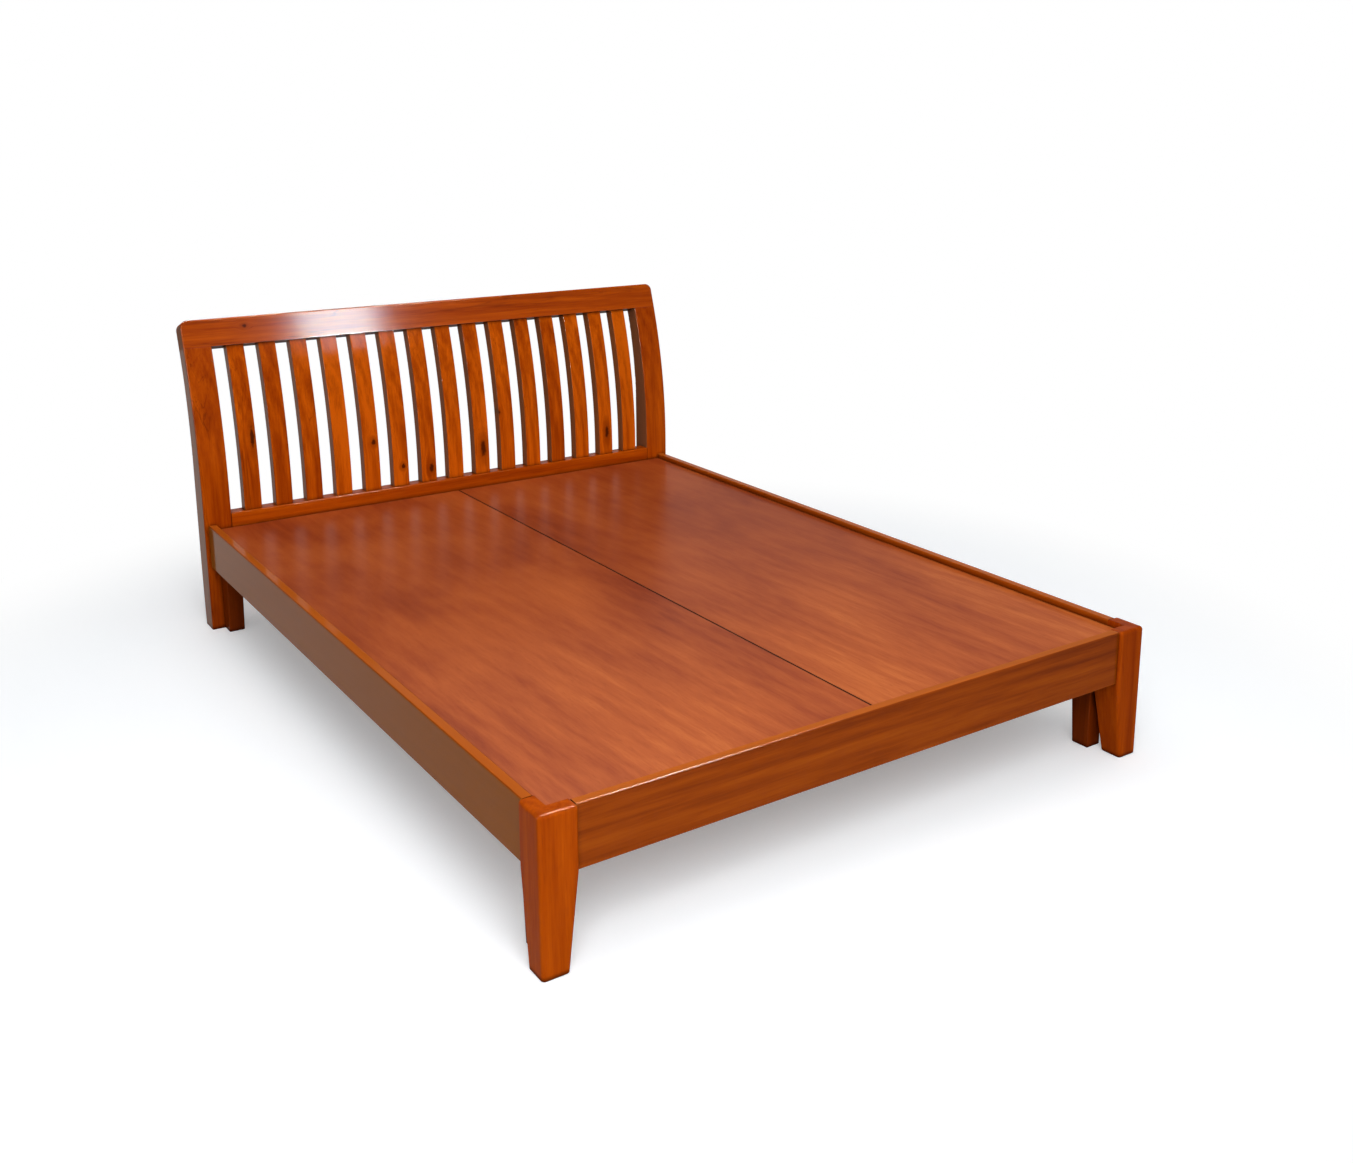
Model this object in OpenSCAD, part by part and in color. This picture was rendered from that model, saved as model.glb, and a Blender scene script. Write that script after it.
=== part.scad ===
// Wooden bed: a knock-down platform bed with a curved headboard of bent slats.
// Millimetres. X runs to the right seen from the foot, Y from foot to head, Z up.
// Modules build with Y = 0 at the foot legs' front face; placed() centres the whole.

/* [Bed] */
// Width over the foot legs' outer faces
bed_w = 1600; // [1400:10:1900]
// Length from the foot legs' front face to the headboard's front face
bed_l = 2075; // [1900:5:2200]
// Height of the rails' top edge above the floor
rail_top = 320; // [300:5:360]

/* [Rails] */
// Depth of the foot rail and side rails
rail_h = 128; // [124:1:140]
// Thickness of the foot rail and side rails
rail_t = 24; // [22:1:28]
// How far the legs' outer faces stand proud of the rails
leg_proud = 8; // [4:1:12]
// Rounding of the rails' top edges
rail_round = 4; // [2:0.5:6]
// Rounding of every rail's and beam's lower edges
under_round = 2; // [1:0.5:3]

/* [Foot legs] */
// Width and depth of a foot leg at the top
leg_size = 80; // [76:1:90]
// Width and depth of a foot leg on the floor
leg_foot = 57; // [45:1:72]
// Height of a foot leg's top above the rails
leg_rise = 2; // [0.5:0.5:5]
// Depth of the notch in a foot leg's top
notch_h = 42; // [34:1:46]
// Rounding of a foot leg's edges
leg_round = 8; // [3:0.5:8]
// Easing of the notch's upper edges
notch_ease = 1.2; // [0.5:0.1:2]
// Bevel round the bottom of every leg
foot_bevel = 2; // [1:0.5:2.5]

/* [Rail legs] */
// Width of a rail leg, across the bed
rail_leg_w = 45; // [42:1:46]
// Depth of a rail leg where it passes the rail
rail_leg_d = 62; // [56:1:68]
// Depth of a rail leg on the floor
rail_leg_foot = 48; // [36:1:54]
// Rounding of a rail leg's edges
rail_leg_round = 3; // [2.5:0.5:4]

/* [Headboard] */
// How far a post's outer face stands outside the foot legs
post_out = 4; // [0:0.5:8]
// Width of a post
post_w = 80; // [76:1:88]
// Thickness of a post at the height of the rails
post_t = 76; // [72:1:84]
// Thickness of a post at its top, and of the top rail
post_top_t = 57; // [52:1:60]
// Thickness of a post on the floor
post_foot_t = 70; // [64:1:71]
// Backward lean of the headboard's top, in degrees
lean = 17.5; // [14:0.5:19]
// Radius of the bend, measured on the posts' front faces
bend_r = 1559; // [1500:1:1650]
// Height at which the bend begins
bend_z = 368; // [355:1:380]
// Depth of the top rail, along its sloping face
top_rail_h = 82; // [72:1:96]
// Radius of the top rail's outer corners
top_corner = 22; // [12:1:30]
// Rounding of the posts' and top rail's edges
arris = 5; // [2:0.5:6]
// Height of the lower rail's top edge
lower_rail_top = 348; // [342:1:352]
// Thickness of the lower rail
lower_rail_t = 48; // [48:1:52]

/* [Slats] */
// Width of a slat
slat_w = 51; // [40:1:60]
// Thickness of a slat
slat_t = 36; // [20:1:36]
// Setback of the slats' faces behind the posts' front faces
slat_set = 8; // [2:0.5:8]
// Rounding of a slat's edges
slat_round = 3; // [1:0.5:5]
// Depth of a slat's ends in the rails
slat_in = 25; // [15:1:30]

/* [Deck] */
// Thickness of the deck panels
deck_t = 15; // [12:1:18]
// Depth of the deck's surface below the rails' top edge
deck_drop = 14; // [10:1:20]
// Gap between the deck and the frame around it
deck_gap = 1.5; // [1:0.5:4]
// Gap between the two deck panels
deck_seam = 4; // [1:0.5:5]
// Radius of the deck's outer corners
deck_corner = 6; // [3:1:20]
// Width of a batten under the deck
batten_w = 40; // [36:1:60]
// Thickness of a batten under the deck
batten_t = 18; // [16:1:24]

/* [Deck supports] */
// Width and height of the ledgers
ledger = 30; // [28:1:34]
// Width of the centre beam
beam_w = 44; // [40:1:60]
// Height of the centre beam
beam_h = 80; // [70:1:84]
// Thickness of a cradle's cheek, beside the beam
cheek = 23; // [20:1:30]
// Diameter of a beam leg under the beam
beam_leg_d = 40; // [36:1:40]
// Diameter of a beam leg on the floor
beam_leg_foot = 32; // [26:1:36]

/* [Joints] */
// Height of the rails' tenons
tenon_h = 68; // [50:1:68]
// Thickness of the foot rail's and side rails' tenons
tenon_t = 12; // [8:1:14]
// Length of the foot rail's tenons
foot_tenon = 25; // [15:1:28]
// Length of the side rails' stub tenons
stub_tenon = 12; // [8:1:15]
// Thickness of the headboard's tenons
head_tenon_t = 16; // [12:1:20]
// Length of the lower rail's tenons
lower_tenon = 30; // [20:1:40]
// Length of the posts' tenons in the top rail
post_tenon = 45; // [30:1:60]
// Clearance round tenons, slat ends and beam
fit = 0.2; // [0.1:0.05:0.4]

/* [Fasteners] */
// Diameter of the bed bolts
bolt_d = 8; // [6:1:8]
// Length of the bed bolts under the head
bolt_l = 90; // [85:1:95]
// Diameter of the wood screws
screw_d = 4.5; // [3.5:0.5:5]
// Radial clearance round bolts, inserts, screws and dowel ends
bore_fit = 0.15; // [0.1:0.05:0.3]

/* [Hidden] */
// Ends of the frame, across and along the bed
half_w = bed_w / 2;
rail_out = half_w - leg_proud;
rail_in = rail_out - rail_t;
foot_in = leg_proud + rail_t;
leg_in = half_w - leg_size;
post_x = half_w + post_out - post_w / 2;

// Heights of the rails, legs and deck
rail_bottom = rail_top - rail_h;
leg_top = rail_top + leg_rise;
deck_top = rail_top - deck_drop;
deck_bottom = deck_top - deck_t;
ledger_bottom = deck_bottom - ledger;
beam_bottom = deck_bottom - beam_h;

// End of the bend on the posts' front faces, and the centre the back bends about
bend_y = bend_r * (1 - cos(lean));
bend_end = bend_z + bend_r * sin(lean);
back_r = (bend_y + post_top_t * cos(lean) - post_t) / (1 - cos(lean));
back_z = bend_end - (post_top_t + back_r) * sin(lean);
post_reach = 120;
taper_in = post_t - post_foot_t;
taper_r = (rail_bottom * rail_bottom + taper_in * taper_in) / (2 * taper_in);
taper_angle = asin(rail_bottom / (taper_r - post_reach)) + 1;

// Rearmost point of the top rail's rounded back edge, and the middle of the whole
head_back = bend_y + (post_top_t - arris) * cos(lean) + (top_rail_h - arris) * sin(lean) + arris;
bed_mid = (bed_l + head_back) / 2;

// Slats, spread with equal gaps between the posts
slat_count = 15;
slat_span = 2 * (post_x - post_w / 2);
slat_gap = (slat_span - slat_count * slat_w) / (slat_count + 1);
slat_pitch = slat_w + slat_gap;
slat_turn = lean + slat_in / bend_r * 180 / PI;
slat_end_gap = fit / bend_r * 180 / PI;

// Tenons
tenon_bottom = rail_bottom + rail_h / 8;
tenon_z = [tenon_bottom, tenon_bottom + tenon_h];
lower_tenon_shoulder = 14;
lower_tenon_z = [rail_bottom + rail_h * 5 / 8, lower_rail_top - lower_tenon_shoulder];
lower_tenon_y = bed_l + lower_rail_t / 2;
post_tenon_shoulder = 15;
post_tenon_w = post_w - 2 * post_tenon_shoulder;

// Deck panel and its battens
panel_w = rail_in - deck_gap - deck_seam / 2;
panel_y = foot_in + deck_gap;
panel_l = bed_l - deck_gap - panel_y;
panel_edge_round = 3;
batten_clear = 3;
batten_x = [beam_w / 2 + batten_clear, rail_in - ledger - batten_clear];
batten_count = 4;
batten_pitch = panel_l / batten_count;

// Ledger, cradle and beam ends
ledger_gap = 2;
ledger_round = 4;
cradle_t = ledger;
cradle_half = beam_w / 2 + fit + cheek;
cradle_lift = 2;
cradle_chamfer = 8;
beam_end_gap = 1;
beam_legs = [foot_in + (bed_l - foot_in) / 3, foot_in + (bed_l - foot_in) * 2 / 3];
beam_tenon_d = 22;
beam_tenon_l = 35;

// Bed bolts: two at each corner, on the middle of the rail legs
bolt_x = rail_in - rail_leg_w / 2;
bolt_head_d = 13;
bolt_head_h = 8;
bolt_edge = 0.8;
hex_d = 6.9;
hex_h = 4;
washer_d = 18;
washer_t = 1.6;
washer_clear = 1.75;
bolt_heights = [rail_bottom + rail_h * 0.18, ledger_bottom - washer_d / 2 - washer_clear];
insert_d = 12;
insert_l = 25;
insert_edge = 1;
bolt_hole = bolt_d + 1;
bolt_end_gap = 4;
bolt_run = bolt_l - washer_t + bolt_end_gap;

// Wood screws
screw_head_d = 9;
screw_head_h = 3;
screw_set = 0.3;
drive_w = 1;
drive_l = 4.6;
drive_h = 2;
ledger_screw_l = 45;
leg_screw_l = 58;
batten_screw_l = 26;
side_screws = 7;
end_screws = 6;
screw_margin = 60;
leg_screw_heights = [rail_bottom + rail_h * 0.32, rail_bottom + rail_h * 0.66];
cradle_screw_heights = [ledger_bottom - ledger * 0.4, ledger_bottom - ledger * 4 / 3];
cradle_screw_x = beam_w / 2 + fit + cheek / 2;
batten_screws = 3;

// Drawing helpers
over = 1;
arc_fn = 360;
leg_fn = 24;
$fa = 6;
$fs = 0.6;

// Colours
wood = [0.74, 0.37, 0.11];
ply = [0.66, 0.36, 0.22];
frame_wood = [0.80, 0.64, 0.42];
zinc = [0.74, 0.75, 0.77];
brass = [0.80, 0.66, 0.34];

// Moves a piece from the foot legs' face to the middle of the bed
module placed() {
    translate([0, -bed_mid, 0])
        children();
}

// Turns a right-hand piece into its left-hand twin
module left_hand() {
    mirror([1, 0, 0])
        children();
}

// Box between pairs of limits, grown on every side for a mortise
module block(x, y, z, grow = 0) {
    translate([x[0] - grow, y[0] - grow, z[0] - grow])
        cube([x[1] - x[0] + 2 * grow, y[1] - y[0] + 2 * grow, z[1] - z[0] + 2 * grow]);
}

// Waste outside a rounded corner at the origin
module corner_waste(r) {
    difference() {
        translate([-over, -over])
            square(r + over);
        translate([r, r])
            circle(r);
    }
}

// Rectangle with its own radius at each corner, anticlockwise from the origin
module rounded(size, radii) {
    corners = [[0, 0], [size[0], 0], size, [0, size[1]]];
    difference() {
        square(size);
        for (i = [0:3])
            if (radii[i] > 0)
                translate(corners[i])
                    rotate(90 * i)
                        corner_waste(radii[i]);
    }
}

// Section drawn in X and Z, run along Y
module along_y(from, to) {
    translate([0, to, 0])
        rotate([90, 0, 0])
            linear_extrude(to - from)
                children();
}

// Section drawn in Y and Z, run along X
module along_x(from, to) {
    translate([from, 0, 0])
        rotate([90, 0, 90])
            linear_extrude(to - from)
                children();
}

// Section at a radius in front of a centre, swept upwards about an X axis
module bend_up(y, z, angle) {
    translate([0, y, z])
        rotate([90, 0, -90])
            rotate_extrude(angle = angle, $fn = arc_fn)
                children();
}

// Section at a radius behind a centre, swept downwards about an X axis
module bend_down(y, z, angle) {
    translate([0, y, z])
        rotate([-90, 0, 90])
            rotate_extrude(angle = angle, $fn = arc_fn)
                children();
}

// Frame on the headboard's front face where the bend ends and the top rail begins
module at_bend_end() {
    translate([0, bed_l + bend_y, bend_end])
        rotate([-lean, 0, 0])
            children();
}

// Front face of a post: upright, then bent back to the lean
module post_front() {
    translate([-post_w / 2, bed_l, 0])
        linear_extrude(bend_z)
            rounded([post_w, post_reach], [arris, arris, 0, 0]);
    bend_up(bed_l + bend_r, bend_z, lean)
        translate([bend_r - post_reach, -post_w / 2])
            rounded([post_reach, post_w], [0, arris, arris, 0]);
}

// Back face of a post: swept in below the rails, upright, then bent on a tighter radius
module post_back() {
    bend_down(bed_l + post_t - taper_r, rail_bottom, taper_angle)
        translate([taper_r - post_reach, -post_w / 2])
            rounded([post_reach, post_w], [0, arris, arris, 0]);
    translate([-post_w / 2, bed_l + post_t - post_reach, rail_bottom])
        linear_extrude(back_z - rail_bottom)
            rounded([post_w, post_reach], [0, 0, arris, arris]);
    bend_up(bed_l + post_t + back_r, back_z, lean)
        translate([back_r, -post_w / 2])
            rounded([post_reach, post_w], [arris, 0, 0, arris]);
}

// Tenon on a post's top, or its mortise in the top rail
module post_top_tenon(grow = 0) {
    at_bend_end()
        block([post_x - post_tenon_w / 2, post_x + post_tenon_w / 2],
            [(post_top_t - head_tenon_t) / 2, (post_top_t + head_tenon_t) / 2],
            [-arris, post_tenon], grow);
}

// Tenon on the lower rail's right end, or its mortise in the post
module lower_rail_tenon(grow = 0) {
    edge = post_x - post_w / 2;
    block([edge - lower_tenon, edge + lower_tenon],
        [lower_tenon_y - head_tenon_t / 2, lower_tenon_y + head_tenon_t / 2],
        lower_tenon_z, grow);
}

// Tenon on the foot rail's right end, or its mortise in the leg
module foot_rail_tenon(grow = 0) {
    middle = leg_proud + rail_t / 2;
    block([leg_in - foot_tenon, leg_in + foot_tenon],
        [middle - tenon_t / 2, middle + tenon_t / 2], tenon_z, grow);
}

// Stub tenons on both ends of the right side rail, or their mortises
module side_rail_tenons(grow = 0) {
    middle = rail_in + rail_t / 2;
    for (y = [leg_size, bed_l])
        block([middle - tenon_t / 2, middle + tenon_t / 2],
            [y - stub_tenon, y + stub_tenon], tenon_z, grow);
}

// Places a right-side bolt part: origin on the rail leg's face, +Z into the joint
module at_right_bolts() {
    for (z = bolt_heights) {
        translate([bolt_x, leg_size + rail_leg_d, z])
            rotate([90, 0, 0])
                children();
        translate([bolt_x, bed_l - rail_leg_d, z])
            rotate([-90, 0, 0])
                children();
    }
}

// The same at all four corners
module at_bolts() {
    at_right_bolts()
        children();
    left_hand()
        at_right_bolts()
            children();
}

// Hole for a bolt, widened for its insert past the joint face
module bolt_bore() {
    translate([0, 0, -over])
        cylinder(h = bolt_run + over, d = bolt_hole);
    translate([0, 0, rail_leg_d])
        cylinder(h = insert_l + bore_fit, d = insert_d + 2 * bore_fit);
}

// Countersunk screw from z = 0 upwards, or its hole
module screw_body(length, grow = 0) {
    rotate_extrude()
        polygon([[0, screw_set - 2 * grow], [screw_head_d / 2 + grow, screw_set - 2 * grow],
            [screw_head_d / 2 + grow, screw_set + grow],
            [screw_d / 2 + grow, screw_set + screw_head_h],
            [screw_d / 2 + grow, length - screw_d + grow], [0, length + grow]]);
}

// Screw with a cross slot for the driver
module screw(length) {
    difference() {
        screw_body(length);
        for (turn = [0, 90])
            rotate(turn)
                block([-drive_l / 2, drive_l / 2], [-drive_w / 2, drive_w / 2],
                    [-over, screw_set + drive_h]);
    }
}

// Hole for a screw, open through the surface its head lies in
module screw_hole(length) {
    screw_body(length, bore_fit);
    translate([0, 0, -over])
        cylinder(h = over + screw_set, d = screw_head_d + 2 * bore_fit);
}

// Screw places of the right side ledger
module at_side_ledger() {
    first = leg_size + rail_leg_d + screw_margin;
    last = bed_l - rail_leg_d - screw_margin;
    for (i = [0:side_screws - 1])
        translate([rail_in - ledger, first + i * (last - first) / (side_screws - 1),
            deck_bottom - ledger / 2])
            rotate([0, 90, 0])
                children();
}

// Screw places along the foot or head ledger, from its face towards the rail
module at_end_ledger(y, turn) {
    reach = leg_in - screw_margin;
    for (i = [0:end_screws - 1])
        translate([-reach + i * 2 * reach / (end_screws - 1), y, deck_bottom - ledger / 2])
            rotate([turn, 0, 0])
                children();
}

// Screw places of the foot ledger
module at_foot_ledger() {
    at_end_ledger(foot_in + ledger, 90)
        children();
}

// Screw places of the head ledger
module at_head_ledger() {
    at_end_ledger(bed_l - ledger, -90)
        children();
}

// Screw places of the right-hand rail legs, foot and head
module at_rail_leg_screws() {
    for (z = leg_screw_heights)
        for (y = [leg_size + rail_leg_d / 2, bed_l - rail_leg_d / 2])
            translate([rail_in - rail_leg_w, y, z])
                rotate([0, 90, 0])
                    children();
}

// Screw places of a cradle whose open face is at y
module at_cradle(y, turn) {
    for (x = [-cradle_screw_x, cradle_screw_x])
        for (z = cradle_screw_heights)
            translate([x, y, z])
                rotate([turn, 0, 0])
                    children();
}

// Screw places of the foot cradle
module at_foot_cradle() {
    at_cradle(foot_in + cradle_t, 90)
        children();
}

// Screw places of the head cradle
module at_head_cradle() {
    at_cradle(bed_l - cradle_t, -90)
        children();
}

// Y of a batten's middle
function batten_y(i) = panel_y + batten_pitch * (i - 0.5);

// Screw places of one right-hand batten, from its underside into the panel
module at_batten(i) {
    first = batten_x[0] + screw_margin;
    last = batten_x[1] - screw_margin;
    for (j = [0:batten_screws - 1])
        translate([first + j * (last - first) / (batten_screws - 1), batten_y(i),
            deck_bottom - batten_t])
            children();
}

// Screw places of all the right-hand battens
module at_battens() {
    for (i = [1:batten_count])
        at_batten(i)
            children();
}

// Square leg with two upright faces at x = 0 and y = 0, tapered on the other two
module tapered_leg(size, foot, height, r) {
    hull() {
        for (x = [r, foot[0] - r])
            for (y = [r, foot[1] - r])
                translate([x, y, 0])
                    cylinder(h = foot_bevel, r1 = r - foot_bevel, r2 = r, $fn = leg_fn);
        for (x = [r, size[0] - r])
            for (y = [r, size[1] - r]) {
                translate([x, y, rail_bottom])
                    cylinder(h = height - r - rail_bottom, r = r, $fn = leg_fn);
                translate([x, y, height - r])
                    sphere(r, $fn = leg_fn);
            }
    }
}

// Post of the headboard, right hand
module headboard_post() {
    difference() {
        union() {
            translate([post_x, 0, 0])
                intersection() {
                    post_front();
                    post_back();
                }
            post_top_tenon();
        }
        lower_rail_tenon(fit);
        side_rail_tenons(fit);
        at_right_bolts()
            bolt_bore();
    }
}

// Notch in a foot leg's top, with its upper edges eased
module leg_notch() {
    block([leg_in - over, rail_in], [foot_in, leg_size + over], [leg_top - notch_h, leg_top + over]);
    hull() {
        block([leg_in - over, rail_in], [foot_in, leg_size + over], [leg_top - notch_ease, leg_top]);
        block([leg_in - over, rail_in + notch_ease], [foot_in - notch_ease, leg_size + over],
            [leg_top, leg_top + over]);
    }
}

// Foot leg, right hand, with the notch that the deck's corner lies over
module foot_leg() {
    difference() {
        translate([half_w, 0, 0])
            mirror([1, 0, 0])
                tapered_leg([leg_size, leg_size], [leg_foot, leg_foot], leg_top, leg_round);
        leg_notch();
        foot_rail_tenon(fit);
        side_rail_tenons(fit);
        at_right_bolts()
            bolt_bore();
    }
}

// Side rail, right hand
module side_rail() {
    difference() {
        union() {
            along_y(leg_size, bed_l)
                translate([rail_in, rail_bottom])
                    rounded([rail_t, rail_h], [under_round, under_round, rail_round, rail_round]);
            side_rail_tenons();
        }
        at_side_ledger()
            screw_hole(ledger_screw_l);
        at_rail_leg_screws()
            screw_hole(leg_screw_l);
    }
}

// Rail leg at the foot or head, right hand: bored for its bolts and screws
module rail_leg() {
    difference() {
        children();
        at_right_bolts()
            bolt_bore();
        at_rail_leg_screws()
            screw_hole(leg_screw_l);
    }
}

// Rail leg beside the foot leg, right hand
module rail_leg_foot_part() {
    rail_leg()
        translate([rail_in, leg_size, 0])
            mirror([1, 0, 0])
                tapered_leg([rail_leg_w, rail_leg_d], [rail_leg_w, rail_leg_foot],
                    deck_bottom, rail_leg_round);
}

// Rail leg beside the post, right hand
module rail_leg_head_part() {
    rail_leg()
        translate([rail_in, bed_l, 0])
            rotate(180)
                tapered_leg([rail_leg_w, rail_leg_d], [rail_leg_w, rail_leg_foot],
                    deck_bottom, rail_leg_round);
}

// Ledger on a side rail, right hand
module side_ledger() {
    difference() {
        along_y(leg_size + rail_leg_d, bed_l - rail_leg_d)
            translate([rail_in - ledger, ledger_bottom])
                rounded([ledger, ledger], [ledger_round, 0, 0, under_round]);
        at_side_ledger()
            screw_hole(ledger_screw_l);
    }
}

// Cradle for the beam's end, from y to y + cradle_t
module cradle(y) {
    top = ledger_bottom;
    slot = beam_w / 2 + fit;
    bottom = rail_bottom + cradle_lift;
    along_y(y, y + cradle_t)
        polygon([[-cradle_half + cradle_chamfer, bottom], [cradle_half - cradle_chamfer, bottom],
            [cradle_half, bottom + cradle_chamfer], [cradle_half, top], [slot, top],
            [slot, beam_bottom], [-slot, beam_bottom], [-slot, top],
            [-cradle_half, top], [-cradle_half, bottom + cradle_chamfer]]);
}

// Turned leg under the beam, with its round tenon
module beam_leg(y) {
    translate([0, y, 0])
        rotate_extrude()
            polygon([[0, 0], [beam_leg_foot / 2 - foot_bevel, 0], [beam_leg_foot / 2, foot_bevel],
                [beam_leg_d / 2, beam_bottom], [beam_tenon_d / 2, beam_bottom],
                [beam_tenon_d / 2, beam_bottom + beam_tenon_l - foot_bevel],
                [beam_tenon_d / 2 - foot_bevel, beam_bottom + beam_tenon_l],
                [0, beam_bottom + beam_tenon_l]]);
}

// X of a slat's middle, counted from the left
function slat_x(i) = -slat_span / 2 + slat_gap + slat_w / 2 + (i - 1) * slat_pitch;

// Bent part of a slat up to an angle, or the hollow it leaves in the top rail
module slat_bend(angle, grow = 0) {
    bend_up(bed_l + bend_r, bend_z, angle)
        translate([bend_r - slat_set - slat_t - grow, -slat_w / 2 - grow])
            rounded([slat_t + 2 * grow, slat_w + 2 * grow],
                [slat_round, slat_round, slat_round, slat_round]);
}

// Slat number i, counted from the left
module slat(i) {
    color(wood)
        placed()
            translate([slat_x(i), 0, 0]) {
                translate([-slat_w / 2, bed_l + slat_set, lower_rail_top - slat_in])
                    linear_extrude(bend_z - lower_rail_top + slat_in)
                        rounded([slat_w, slat_t],
                            [slat_round, slat_round, slat_round, slat_round]);
                slat_bend(slat_turn);
            }
}

// Housings for the slats' feet in the lower rail
module slat_housings() {
    for (i = [1:slat_count])
        block([slat_x(i) - slat_w / 2, slat_x(i) + slat_w / 2],
            [bed_l + slat_set, bed_l + slat_set + slat_t],
            [lower_rail_top - slat_in, lower_rail_top + over], fit);
}

// Deck panel, right hand
module deck_panel() {
    difference() {
        translate([deck_seam / 2, panel_y, deck_bottom])
            linear_extrude(deck_t)
                rounded([panel_w, panel_l],
                    [panel_edge_round, deck_corner, deck_corner, panel_edge_round]);
        at_battens()
            screw_hole(batten_screw_l);
    }
}

// Batten number i under the right-hand panel, counted from the foot
module batten(i) {
    difference() {
        along_x(batten_x[0], batten_x[1])
            translate([batten_y(i) - batten_w / 2, deck_bottom - batten_t])
                rounded([batten_w, batten_t], [under_round, under_round, 0, 0]);
        at_batten(i)
            screw_hole(batten_screw_l);
    }
}

// Right-hand batten in its colour
module batten_right(i) {
    color(frame_wood)
        placed()
            batten(i);
}

// Left-hand batten in its colour
module batten_left(i) {
    color(frame_wood)
        placed()
            left_hand()
                batten(i);
}

module headboard_post_left() {
    color(wood)
        placed()
            left_hand()
                headboard_post();
}

module headboard_post_right() {
    color(wood)
        placed()
            headboard_post();
}

module top_rail() {
    half = post_x + post_w / 2;
    round_x = half - top_corner;
    round_z = top_rail_h - top_corner;
    color(wood)
        placed()
            difference() {
                at_bend_end() {
                    along_x(-round_x, round_x)
                        rounded([post_top_t, top_rail_h], [0, 0, arris, arris]);
                    for (side = [0, 1])
                        mirror([side, 0, 0]) {
                            translate([round_x, 0, 0])
                                linear_extrude(round_z)
                                    rounded([top_corner, post_top_t], [0, arris, arris, 0]);
                            translate([round_x, 0, round_z])
                                rotate([-90, -90, 0])
                                    rotate_extrude(angle = 90)
                                        rounded([top_corner, post_top_t], [0, arris, arris, 0]);
                        }
                }
                post_top_tenon(fit);
                left_hand()
                    post_top_tenon(fit);
                for (i = [1:slat_count])
                    translate([slat_x(i), 0, 0])
                        slat_bend(slat_turn + slat_end_gap, fit);
            }
}

module lower_rail() {
    edge = post_x - post_w / 2;
    color(wood)
        placed()
            difference() {
                union() {
                    along_x(-edge, edge)
                        translate([bed_l, rail_bottom])
                            rounded([lower_rail_t, lower_rail_top - rail_bottom],
                                [under_round, under_round, rail_round, rail_round]);
                    lower_rail_tenon();
                    left_hand()
                        lower_rail_tenon();
                }
                slat_housings();
                at_head_ledger()
                    screw_hole(ledger_screw_l);
                at_head_cradle()
                    screw_hole(ledger_screw_l);
            }
}

module slat_01() slat(1);
module slat_02() slat(2);
module slat_03() slat(3);
module slat_04() slat(4);
module slat_05() slat(5);
module slat_06() slat(6);
module slat_07() slat(7);
module slat_08() slat(8);
module slat_09() slat(9);
module slat_10() slat(10);
module slat_11() slat(11);
module slat_12() slat(12);
module slat_13() slat(13);
module slat_14() slat(14);
module slat_15() slat(15);

module foot_leg_left() {
    color(wood)
        placed()
            left_hand()
                foot_leg();
}

module foot_leg_right() {
    color(wood)
        placed()
            foot_leg();
}

module foot_rail() {
    color(wood)
        placed()
            difference() {
                union() {
                    along_x(-leg_in, leg_in)
                        translate([leg_proud, rail_bottom])
                            rounded([rail_t, rail_h],
                                [under_round, under_round, rail_round, rail_round]);
                    foot_rail_tenon();
                    left_hand()
                        foot_rail_tenon();
                }
                at_foot_ledger()
                    screw_hole(ledger_screw_l);
                at_foot_cradle()
                    screw_hole(ledger_screw_l);
            }
}

module side_rail_left() {
    color(wood)
        placed()
            left_hand()
                side_rail();
}

module side_rail_right() {
    color(wood)
        placed()
            side_rail();
}

module rail_leg_foot_left() {
    color(wood)
        placed()
            left_hand()
                rail_leg_foot_part();
}

module rail_leg_foot_right() {
    color(wood)
        placed()
            rail_leg_foot_part();
}

module rail_leg_head_left() {
    color(wood)
        placed()
            left_hand()
                rail_leg_head_part();
}

module rail_leg_head_right() {
    color(wood)
        placed()
            rail_leg_head_part();
}

module ledger_left() {
    color(frame_wood)
        placed()
            left_hand()
                side_ledger();
}

module ledger_right() {
    color(frame_wood)
        placed()
            side_ledger();
}

module ledger_foot() {
    half = leg_in - ledger_gap;
    color(frame_wood)
        placed()
            difference() {
                along_x(-half, half)
                    translate([foot_in, ledger_bottom])
                        rounded([ledger, ledger], [0, ledger_round, under_round, 0]);
                at_foot_ledger()
                    screw_hole(ledger_screw_l);
            }
}

module ledger_head() {
    half = rail_in - rail_leg_w - ledger_gap;
    color(frame_wood)
        placed()
            difference() {
                along_x(-half, half)
                    translate([bed_l - ledger, ledger_bottom])
                        rounded([ledger, ledger], [ledger_round, 0, 0, under_round]);
                at_head_ledger()
                    screw_hole(ledger_screw_l);
            }
}

module centre_beam() {
    color(frame_wood)
        placed()
            difference() {
                along_y(foot_in + beam_end_gap, bed_l - beam_end_gap)
                    translate([-beam_w / 2, beam_bottom])
                        rounded([beam_w, beam_h], [under_round, under_round, 0, 0]);
                for (y = [foot_in, bed_l])
                    block([-beam_w, beam_w], [y - ledger, y + ledger],
                        [ledger_bottom, deck_top], fit);
                for (y = beam_legs)
                    translate([0, y, beam_bottom - over])
                        cylinder(h = beam_tenon_l + over + bore_fit, d = beam_tenon_d + 2 * bore_fit);
            }
}

module beam_cradle_foot() {
    color(frame_wood)
        placed()
            difference() {
                cradle(foot_in);
                at_foot_cradle()
                    screw_hole(ledger_screw_l);
            }
}

module beam_cradle_head() {
    color(frame_wood)
        placed()
            difference() {
                cradle(bed_l - cradle_t);
                at_head_cradle()
                    screw_hole(ledger_screw_l);
            }
}

module beam_leg_foot() {
    color(frame_wood)
        placed()
            beam_leg(beam_legs[0]);
}

module beam_leg_head() {
    color(frame_wood)
        placed()
            beam_leg(beam_legs[1]);
}

module deck_panel_left() {
    color(ply)
        placed()
            left_hand()
                deck_panel();
}

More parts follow.
